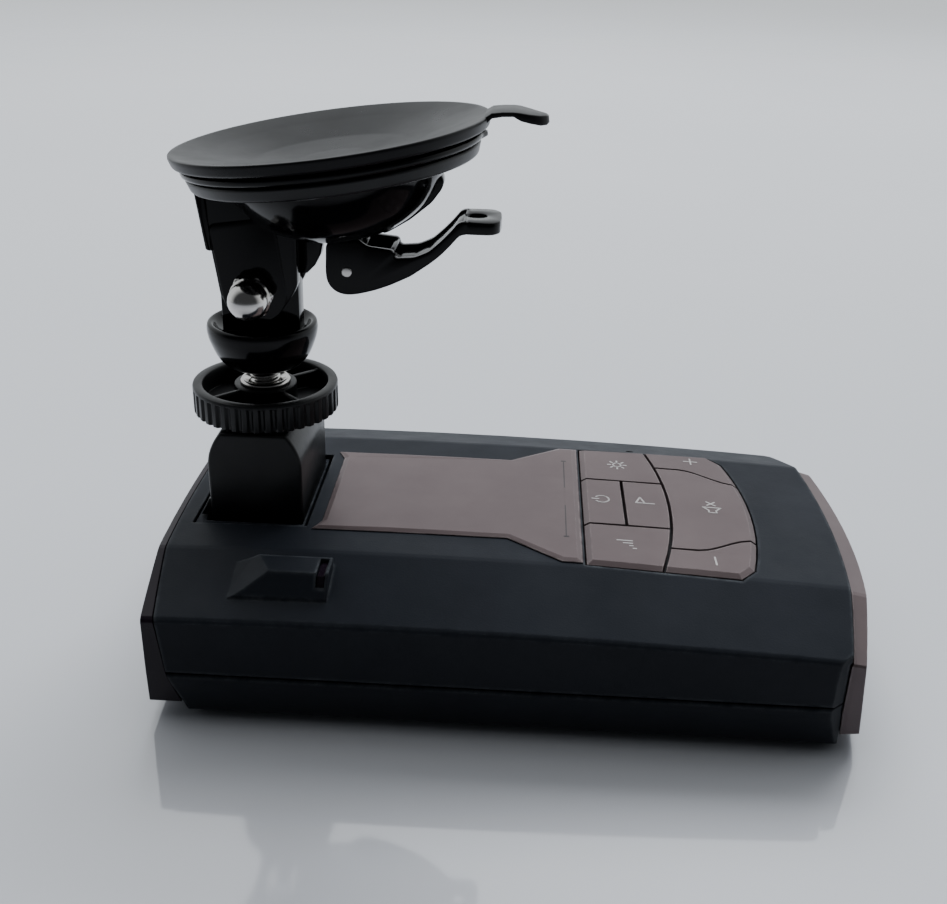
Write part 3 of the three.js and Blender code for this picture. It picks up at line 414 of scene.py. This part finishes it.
def resampled(points, count):
    """The same closed outline with count evenly spaced points."""
    ends = points[1:] + points[:1]
    lengths = [math.dist(a, b) for a, b in zip(points, ends)]
    total = sum(lengths)
    result = []
    for k in range(count):
        travel = total * k / count
        i = 0
        while travel > lengths[i]:
            travel -= lengths[i]
            i += 1
        t = travel / lengths[i]
        result.append(tuple(p + (q - p) * t for p, q in zip(points[i], ends[i])))
    return result


def tube(bm, rings, pairs):
    """Makes quads between each pair of rings of equal length, given by their numbers."""
    made = [[bm.verts.new(point) for point in ring] for ring in rings]
    count = len(made[0])
    for i, j in pairs:
        for k in range(count):
            following = (k + 1) % count
            bm.faces.new((made[i][k], made[i][following], made[j][following], made[j][k]))
    return made


def skin(bm, rings):
    """Joins rings into a tube with flat ends."""
    made = tube(bm, rings, [(i, i + 1) for i in range(len(rings) - 1)])
    bm.faces.new(made[0][::-1])
    bm.faces.new(made[-1])


def loop(bm, rings):
    """Joins rings into a closed tube that ends where it starts."""
    tube(bm, rings, [(i, (i + 1) % len(rings)) for i in range(len(rings))])


def bar(bm, stations, corner):
    """Lofts (along, bottom, top, half width) stations into a bar with rounded corners."""
    rings = []
    for along, bottom, top, half in stations:
        section = round_corners(rectangle(-half, half, bottom, top), corner, 3)
        rings.append([(along, y, h) for y, h in section])
    skin(bm, rings)


def join(bm, other, matrix):
    """Adds a second mesh to the first, moved by a matrix."""
    bmesh.ops.transform(other, matrix=matrix, verts=other.verts)
    copies = {vertex: bm.verts.new(vertex.co) for vertex in other.verts}
    for face in other.faces:
        bm.faces.new([copies[vertex] for vertex in face.verts])
    other.free()


def prism(bm, axis, outline, low, high, edge, steps=3):
    """Extrudes an outline along an axis, its two end edges rounded over by edge."""
    outline = anticlockwise(list(outline))
    fillet = [(edge * (1 - math.cos(a)), edge * (1 - math.sin(a))) for a in turns(0, 90, steps)]
    rings = [(grown(outline, -inset), low + rise) for rise, inset in fillet]
    rings += [(grown(outline, -inset), high - rise) for rise, inset in fillet[::-1]]
    place = AXES[axis]
    skin(bm, [[place(a, b, level) for a, b in ring] for ring, level in rings])


def two_sided(bm, outline, near, far, edge):
    """The same prism along y on both sides of the middle plane."""
    for side in (-1, 1):
        low, high = sorted((side * near, side * far))
        prism(bm, "y", outline, low, high, edge)


def lathe(bm, profile, steps, centre=(0.0, 0.0)):
    """Revolves a closed (radius, height) profile about the vertical line through centre."""
    apexes = {
        i: bm.verts.new((*centre, height)) for i, (radius, height) in enumerate(profile) if radius < ON_AXIS
    }

    def column(angle):
        made = dict(apexes)
        for i, (radius, height) in enumerate(profile):
            if i not in made:
                x, y = circle_point(radius, angle)
                made[i] = bm.verts.new((centre[0] + x, centre[1] + y, height))
        return [made[i] for i in range(len(profile))]

    columns = [column(angle) for angle in full_turn(steps)]
    for here, there in zip(columns, columns[1:] + columns[:1]):
        for i in range(len(profile)):
            j = (i + 1) % len(profile)
            corners = list(dict.fromkeys((here[i], there[i], there[j], here[j])))
            if len(corners) > 2:
                bm.faces.new(corners)


def piece(name, bm, look, body, stands_for=(), matrix=None, angle=32):
    """Turns a bmesh in millimetres into a piece that rides on a body."""
    if matrix is not None:
        bmesh.ops.transform(bm, matrix=matrix, verts=bm.verts)
    bmesh.ops.scale(bm, vec=(MM, MM, MM), verts=bm.verts)
    bmesh.ops.recalc_face_normals(bm, faces=bm.faces)
    mesh = bpy.data.meshes.new(name)
    bm.to_mesh(mesh)
    bm.free()
    mesh.shade_smooth()
    mesh.set_sharp_from_angle(angle=math.radians(angle))
    mesh.materials.append(LOOKS[look])
    obj = bpy.data.objects.new(name, mesh)
    bpy.context.collection.objects.link(obj)
    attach(obj, body)
    if stands_for:
        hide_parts(*stands_for)


# ------------------------------------------------------------------ suction cup and its base
# Profiles here are (radius, height) and outlines (u, height), both in the tilted disc's frame.
def suction_cup():
    """Dished rubber disc with a boss for the plunger."""
    bm = bmesh.new()
    underside = [(0, -3.4), (3.4, -3.4), (3.4, -8.1), (5.0, -8.1), (5.4, -4.4), (14, -0.4), (22, 2.0),
                 (28.6, 3.4), (29.75, 3.7)]
    top = [(30.2, 5.3), (30.15, 5.8), (29.5, 5.85), (24, 4.4), (15, 2.2), (7, 1.1), (0, 0.9)]
    lathe(bm, round_corners(underside + top, 0.6, 4, closed=False), 128)
    piece("suction_cup_rubber", bm, "rubber_black", "head", ["suction_cup"], DISC)


def cup_tab():
    """Pull tab at the cup's edge, which dips and ends in a narrowing lip."""
    bm = bmesh.new()
    stations = [
        (29.0, 4.4, 5.7, 5.6), (30.6, 5.5, 6.45, 5.0), (32.6, 5.55, 6.4, 4.9), (34.5, 5.35, 6.2, 4.9),
        (35.0, 4.95, 6.1, 4.9), (35.8, 4.4, 5.9, 4.8), (37.3, 3.75, 5.4, 4.2), (39.2, 3.0, 4.8, 3.0),
        (40.3, 2.85, 4.55, 1.8), (40.8, 3.1, 4.3, 0.7),
    ]
    bar(bm, stations, 0.3)
    piece("suction_cup_tab", bm, "rubber_black", "head", matrix=DISC)


def base_bowl():
    """Hollow bowl, open in the middle for the plunger and for the lever as it swings."""
    bm = bmesh.new()
    opening = 8.6
    outside = [(opening, -13.3), (10.6, -12.7), (14.3, -10.8), (17, -8.6), (19, -5.9), (20.6, -3.3),
               (21.4, -1.4), (23, -1.2), (25.6, 1.5)]
    cavity = [(25.6, 2.4), (23.5, 1.4), (20, -0.6), (16, -2.8), (12, -6.4), (opening, -7.9)]
    lathe(bm, round_corners(outside, 2.4, 4, closed=False) + cavity, 128)
    piece("base_bowl", bm, "gloss_black", "head", ["suction_base"], DISC)


def base_flange():
    """Flat ring under the cup's edge, with a small nose below the pull tab."""
    bm = bmesh.new()
    ring = [(24, 1.6), (28.2, 1.7), (28.6, 2.1), (28.6, 2.9), (24, 2.9)]
    nose = [(27.6, -3.2), (28.4, -2.6), (29.3, 0), (28.4, 2.6), (27.6, 3.2)]
    lathe(bm, round_corners(ring, 0.25, 3), 128)
    prism(bm, "z", nose, 1.8, 2.9, 0.2)
    piece("base_flange", bm, "gloss_black", "head", matrix=DISC)


def rim_band():
    """Satin band round the bowl below the flange."""
    bm = bmesh.new()
    band = [(23.5, -1.2), (26.6, -1.25), (27.3, -0.9), (27.9, 1.0), (27.6, 1.4), (26, 1.2), (26, 0.1),
            (23.5, -0.1)]
    lathe(bm, round_corners(band, 0.3, 3), 128)
    piece("base_rim_band", bm, "satin_black", "head", ["base_rim"], DISC)


def base_rail():
    """Fin along the bowl on the lever's side."""
    bm = bmesh.new()
    rail = [(7.4, -11), (7.4, -14.1), (8.6, -13.8), (13, -11.9), (17.5, -9.1), (19.7, -6.8), (20.3, -5.6),
            (20.1, -4.4), (19.0, -3.6), (15, -3.4), (8, -8)]
    prism(bm, "y", round_corners(rail, 0.8), -2.2, 2.2, 0.45)
    piece("base_rail", bm, "gloss_black", "head", matrix=DISC)


def base_arm():
    """Two ears that hold the knuckle's tongue, a cover over their upper part and a gusset."""
    bolt_u, bolt_h = BOLT_IN_DISC
    radius, top = 6.3, -1.4
    left, right = bolt_u - radius - 0.5, bolt_u + radius
    plate = [(left, top), (left, bolt_h)] + arc(BOLT_IN_DISC, radius, 200, 320, 12)
    plate += [(-10.9, -23), (-9.9, -21.4), (-8.6, -13), (-7, top)]
    cover = [(left - 0.9, top), (left - 0.9, -12.7), (left + 0.2, -13.1), (left + 1.2, top)]
    ear = [(bolt_u - radius, -8)] + arc(BOLT_IN_DISC, radius, 180, 360, 24) + [(right, -8)]
    gusset = [(-9.5, -12), (-4, -12), (-4.6, -14.6), (-5.4, -17), (-6.8, -19), (-8.6, -20.4),
              (-9.9, -20.4)]
    bm = bmesh.new()
    two_sided(bm, round_corners(plate, 0.6), 2.9, 6.3, 0.35)
    two_sided(bm, round_corners(ear, 1.5), 5.6, 6.6, 0.2)
    prism(bm, "y", round_corners(cover, 0.4), -6.9, 6.9, 0.5)
    prism(bm, "y", gusset, -1.6, 1.6, 0.3)
    piece("base_arm", bm, "gloss_black", "head", matrix=DISC)


# ------------------------------------------------------------------ tilt bolt and its nut
HEX_RADIUS = 4.55                # centre to corner
HEX_FROM, HEX_TO = 7.1, 10.4     # distance of the two faces from the middle plane
DOME_RADIUS = 3.75
SHANK = [(0, -12), (2.4, -12), (2.4, 8), (0, 8)]


def hexagon_piece(name, node, side, cap):
    """A hexagon on one side of the ears, with its shank and a turned cap, as (radius, outwards)."""
    bm = bmesh.new()
    hexagon = arc((BOLT.x, BOLT.z), HEX_RADIUS, 7, 307, 5)
    low, high = sorted((side * HEX_FROM, side * HEX_TO))
    prism(bm, "y", round_corners(hexagon, 0.25, 2), low, high, 0.5, 4)
    turned = bmesh.new()
    lathe(turned, cap, 64)
    lathe(turned, SHANK, 32)
    outwards = Matrix.Rotation(math.radians(-90 * side), 4, "X")
    join(bm, turned, Matrix.Translation((BOLT.x, 0, BOLT.z)) @ outwards)
    piece(name, bm, "nickel", "head", [node])


def tilt_bolt():
    hexagon_piece("tilt_bolt_head", "tilt_bolt", 1, [(0, 9.6), (3.9, 9.6), (3.9, 10.5), (0, 10.5)])


def domed_nut():
    """Acorn nut: a half ball on a short neck closes the hexagon."""
    dome_base = 12.3
    cap = [(0, 9.6), (4.0, 9.6), (4.0, 10.5), (3.7, 10.9), (DOME_RADIUS, 12.2)]
    cap += [
        (DOME_RADIUS * math.cos(a), dome_base + DOME_RADIUS * math.sin(a)) for a in turns(0, 81, 9)
    ]
    cap.append((0, dome_base + DOME_RADIUS))
    hexagon_piece("domed_nut", "acorn_nut", -1, cap)


# ------------------------------------------------------------------ knuckle, wheel, stud and block
def knuckle():
    """Round cup on the stud, with the tongue that the ears clamp."""
    bm = bmesh.new()
    bowl = [(0, 56.3), (5.0, 56.3), (7.6, 57.3), (9.3, 59.2), (10.3, 61.6), (10.9, 63.4), (11.1, 65.0),
            (10.9, 66.1), (10.3, 66.4), (9.7, 66.1), (9.0, 65.2), (7.6, 64.5), (0, 64.3)]
    lathe(bm, round_corners(bowl, 1.2, 4, closed=False), 96, (STEM_X, 0))
    half_width, foot = 7.75, 58.6
    tongue = [(BOLT.x - half_width, foot), (BOLT.x + half_width, foot)]
    tongue += arc((BOLT.x, BOLT.z), half_width, 0, 180, 28)
    prism(bm, "y", tongue, -2.5, 2.5, 0.3)
    piece("knuckle_cup", bm, "gloss_black", "neck", ["lower_knuckle"])


def wheel_rim(bm):
    """Ring whose grip ribs start below its plain top edge."""
    outer, inner, bottom, top = 14.75, 12.7, 47.45, 53.35
    ribs, points_per_rib, rib_depth = 40, 10, 0.55
    angles = full_turn(ribs * points_per_rib)
    groove = [min(1.0, max(0.0, 1.7 * math.cos(ribs * a))) for a in angles]

    def ring(radius, height, depth=0.0):
        spots = [circle_point(radius - depth * share, a) for a, share in zip(angles, groove)]
        return [(STEM_X + x, y, height) for x, y in spots]

    edge = [(0.45, 0.0), (0.13, 0.13), (0.0, 0.45)]
    rings = [ring(outer - inset, bottom + rise, rib_depth) for inset, rise in edge]
    rings += [ring(outer, top - 1.0, rib_depth), ring(outer, top - 0.75)]
    rings += [ring(outer - inset, top - rise) for inset, rise in edge[::-1]]
    rings += [ring(inner + inset, top - rise) for inset, rise in edge]
    rings += [ring(inner, bottom + 1.6), ring(inner, bottom)]
    loop(bm, rings)


def thumbwheel():
    """Ribbed ring, hub, floor and four spokes."""
    bm = bmesh.new()
    wheel_rim(bm)
    hub = round_corners(rectangle(4.7, 6.35, 48.4, 53.0), 0.35, 3)
    floor = [(6.0, 48.4), (13.0, 47.5), (13.0, 49.2), (6.0, 49.6)]
    lathe(bm, hub, 64, (STEM_X, 0))
    lathe(bm, floor, 96, (STEM_X, 0))
    for turn in (45, 135, 225, 315):
        spoke = bmesh.new()
        prism(spoke, "z", rectangle(5.5, 13.2, -0.5, 0.5), 48.4, 52.6, 0.25)
        about_stem = Matrix.Translation((STEM_X, 0, 0)) @ Matrix.Rotation(math.radians(turn), 4, "Z")
        join(bm, spoke, about_stem)
    piece("wheel_ring", bm, "satin_black", "wheel", ["thumbwheel"])


def wheel_bush():
    """Plated threaded bush in the wheel's hub, with a collar on top."""
    bm = bmesh.new()
    bush = [(3.4, 47.7), (4.5, 47.7), (4.5, 53.2), (5.1, 53.2), (5.15, 53.6), (4.7, 54), (4.3, 54),
            (3.4, 53.1)]
    lathe(bm, round_corners(bush, 0.12, 2), 64, (STEM_X, 0))
    piece("wheel_bush", bm, "nickel", "wheel", ["wheel_insert"])


def stud():
    """Quarter-inch stud with a real helical thread between its plain ends."""
    crest, depth, pitch = 3.12, 0.5, 1.27
    root = crest - depth
    plain = crest - 0.3
    bottom, low, high, top = 38.7, 45.4, 56.0, 58.4
    around = 48
    levels = int((high - low) / pitch * 10)
    rings = [[(bottom, plain)] * around, [(low, plain)] * around]
    for step in range(1, levels):
        height = low + (high - low) * step / levels
        phases = [(height / pitch - k / around) % 1 for k in range(around)]
        flanks = [max(0.0, min(1.0, 1.25 - abs(phase - 0.5) * 2.9)) for phase in phases]
        rings.append([(height, root + depth * flank) for flank in flanks])
    rings += [[(high, root)] * around, [(top, root)] * around]
    bm = bmesh.new()
    angles = full_turn(around)
    skin(bm, [
        [(STEM_X + radius * math.cos(a), radius * math.sin(a), z) for (z, radius), a in zip(ring, angles)]
        for ring in rings
    ])
    piece("stud_thread", bm, "nickel", "neck", ["mount_stud"], angle=50)


def mount_block():
    """Shouldered block over the dock, with a lip at its foot."""
    low, high = box_mm("mount_block")
    half_depth = high.y - 0.6
    half_width, foot = 9.5, low.z + 0.2
    shoulder = [(half_width - 2.9 * t * t, 39.6 + 7.4 * t) for t in (k / 10 for k in range(11))]
    outline = [(STEM_X - half_width, foot), (STEM_X + half_width, foot)]
    outline += [(STEM_X + x, z) for x, z in shoulder]
    outline += [(STEM_X - x, z) for x, z in shoulder[::-1]]
    lip = [(-65.3, 28.4), (-63, 28.4), (-63, 32.4), (-63.6, 31.9)]
    bm = bmesh.new()
    prism(bm, "y", round_corners(outline, 0.5), -half_depth, half_depth, 0.7, 4)
    prism(bm, "y", lip, -half_depth + 0.4, half_depth - 0.4, 0.2)
    piece("block_body", bm, "satin_black", "mount", ["mount_block"])


# ------------------------------------------------------------------ lever
LEVER_UNDERSIDE = [
    (-38.4, 84.4), (-39.4, 83.6), (-39.6, 78.3), (-39.4, 76.6), (-38.7, 75.3), (-37.6, 74.4),
    (-36.3, 73.95), (-34.9, 73.9), (-33, 74.2), (-30.1, 75), (-27.2, 76.1), (-23.3, 78), (-19.5, 80.7),
    (-17.6, 82.3), (-15.8, 84.2), (-14.9, 85.3), (-13.9, 86.35), (-12.4, 86.55),
]
LEVER_TOP = [
    (-12.4, 88.9), (-13.6, 88.9), (-14.5, 88.5), (-15.8, 86.9), (-17.7, 84.9), (-19.9, 82.9),
    (-22.6, 81.7), (-26.2, 81.4), (-26.5, 82.9), (-31.6, 83.4), (-33.2, 84.6),
]
LEVER_WEB = [
    (-31, 75.1), (-27.2, 76.5), (-23.4, 78.35), (-19.7, 81), (-17.9, 82.6), (-16.1, 84.5), (-15.2, 85.6),
    (-13.9, 86.7), (-12.6, 86.8), (-12.6, 88.6), (-13.7, 88.6), (-14.6, 88), (-15.9, 86.3), (-17.9, 84.2),
    (-20.2, 82.1), (-22.9, 80.9), (-26.4, 80.6), (-28.2, 79.6), (-31, 78.4),
]
WEB_HALF = 4.4
PAD_OUTLINE = [(-13.4, -5.9), (-8.0, -5.9), (-6.5, -4.2), (-6.25, 0), (-6.5, 4.2), (-8.0, 5.9), (-13.4, 5.9)]
PAD_CENTRE = Vector((-10.4, 0))
PAD_BOTTOM, PAD_TOP = 86.5, 88.9
EYE_CENTRE = Vector((-11.1, 0))
EYE_RADII = (1.9, 1.75)


def lever_frame(bm):
    """Two cheeks, the web between them and two short cross walls."""
    two_sided(bm, round_corners(LEVER_UNDERSIDE + LEVER_TOP, 0.8), 4.2, 5.95, 0.35)
    prism(bm, "y", round_corners(LEVER_WEB, 0.3), -WEB_HALF, WEB_HALF, 0.1)
    for wall in (rectangle(-27.4, -26.4, 79.5, 82.7), rectangle(-33, -31.9, 82.2, 83.4)):
        prism(bm, "y", round_corners(wall, 0.3), -WEB_HALF, WEB_HALF, 0.1)


def finger_pad(bm):
    """Flat pad with an oval eye, every edge rounded."""
    rim = [Vector(point) for point in resampled(round_corners(PAD_OUTLINE, 1.2, 5), 96)]
    bearings = [math.atan2(point.y, point.x - EYE_CENTRE.x) for point in rim]
    eye = [
        Vector((EYE_CENTRE.x + EYE_RADII[0] * math.cos(a), EYE_RADII[1] * math.sin(a))) for a in bearings
    ]

    def ring(points, centre, inset, height):
        return [(*(point - (point - centre).normalized() * inset), height) for point in points]

    edge = [(0.35, 0.0), (0.1, 0.1), (0.0, 0.35)]
    rings = [ring(rim, PAD_CENTRE, inset, PAD_BOTTOM + rise) for inset, rise in edge]
    rings += [ring(rim, PAD_CENTRE, inset, PAD_TOP - rise) for inset, rise in edge[::-1]]
    rings += [ring(eye, EYE_CENTRE, -inset, PAD_TOP - rise) for inset, rise in edge]
    rings += [ring(eye, EYE_CENTRE, -inset, PAD_BOTTOM + rise) for inset, rise in edge[::-1]]
    loop(bm, rings)


def lever():
    """Cam lever: two cheeks on the pin, a curved neck and a finger pad."""
    bm = bmesh.new()
    lever_frame(bm)
    finger_pad(bm)
    piece("lever_body", bm, "gloss_black", "lock_lever", ["lever"])


def lever_axle():
    bm = bmesh.new()
    prism(bm, "y", arc((PIN.x, PIN.z), 1.0, 0, 352.5, 47), -6.15, 6.15, 0.2)
    piece("lever_axle", bm, "nickel", "cam", ["lever_pin"])


# ------------------------------------------------------------------ keypad marks
MARK_DEPTH = 0.03                # the underside of a mark sits this far inside its key
ABOVE = 0.2                      # metres up, from where the surface is looked for


def on_top(node, x, y, lift):
    """Point above a CAD node's upper surface, in millimetres."""
    start = Vector((x * MM, y * MM, ABOVE))
    hit, place, _, _ = frame["nodes"][node].ray_cast(start, Vector((0, 0, -1)))
    assert hit, node
    return Vector((x, y, place.z / MM + lift))


def stroke(bm, node, points, width, height):
    """Thin raised line along points on the top of a node."""
    half = width / 2
    for start, end in zip(points, points[1:]):
        a, b = Vector(start), Vector(end)
        along = (b - a).normalized() * half
        side = Vector((-along.y, along.x))
        before, after = a - along * 0.6, b + along * 0.6
        corners = [before - side, after - side, after + side, before + side]
        skin(bm, [
            [on_top(node, *corner, -MARK_DEPTH) for corner in corners],
            [on_top(node, *corner, height) for corner in corners],
        ])


def circle(radius, start=0, end=360):
    return arc((0, 0), radius, start, end, 20)


# Each mark's centre on its key, and its strokes as (right, up) for a reader at the display end.
KEY_MARKS = {
    "brightness": ((21.3, 18.3), [circle(0.9)] + [
        [circle_point(1.4, a), circle_point(2.1, a)] for a in full_turn(8)
    ]),
    "power": ((17.1, 0.9), [circle(1.5, 125, 415), [(0, 0.7), (0, 2.1)]]),
    "mark": ((26.3, 1.4), [[(-1.1, -1.9), (-1.1, 2.0), (1.5, 1.0), (-1.1, 0.1)]]),
    "sensitivity": ((20.8, -18), [[(x, -1.5), (x, 1.2 * x - 0.3)] for x in (-1.5, -0.5, 0.5, 1.5)]),
    "mute": ((40.4, 0.6), [
        [(-2.1, -0.8), (-1.1, -0.8), (0.2, -1.9), (0.2, 1.9), (-1.1, 0.8), (-2.1, 0.8), (-2.1, -0.8)],
        [(1.1, -0.9), (2.7, 0.9)], [(1.1, 0.9), (2.7, -0.9)],
    ]),
    # The volume marks are raised bumps of the key's own colour; their white is a painted highlight.
    "volume_up": ((38.4, 23), [[(-1.5, 0), (1.5, 0)], [(0, -1.5), (0, 1.5)]]),
    "volume_down": ((38.2, -21.9), [[(-1.5, 0), (1.5, 0)]]),
}


def key_marks():
    """One generic symbol on each key in white: printed on most keys, while on the volume keys the white
    stands for the light shading of raised bumps, a painted highlight.
    """
    for name, ((x, y), strokes) in KEY_MARKS.items():
        key = "key_" + name
        bm = bmesh.new()
        for points in strokes:
            stroke(bm, key, [(x - up, y + right) for right, up in points], 0.36, 0.04)
        piece("mark_on_" + name, bm, "legend_white", BODY_OF[key])


def trim_lines():
    """Two thin dark lines across the wide end of the trim plate, each with an end tick."""
    line_x, thickness = 9.2, 0.02
    bm = bmesh.new()
    for low, high in ((-16.5, -3.2), (5.2, 18.3)):
        points = [(line_x, low + (high - low) * k / 6) for k in range(7)]
        stroke(bm, "trim_plate", points, 0.22, thickness)
    for y in (-16.5, 18.3):
        stroke(bm, "trim_plate", [(line_x - 0.4, y), (line_x + 0.4, y)], 0.5, thickness)
    piece("trim_engraving", bm, "legend_dark", "case")


camera()
studio()
for node, obj in frame["nodes"].items():
    obj.data.materials.clear()
    obj.data.materials.append(LOOKS[SLOT_OF[node]])
for build in (suction_cup, cup_tab, base_bowl, base_flange, rim_band, base_rail, base_arm, tilt_bolt,
              domed_nut, knuckle, thumbwheel, wheel_bush, stud, mount_block, lever, lever_axle, key_marks,
              trim_lines):
    build()
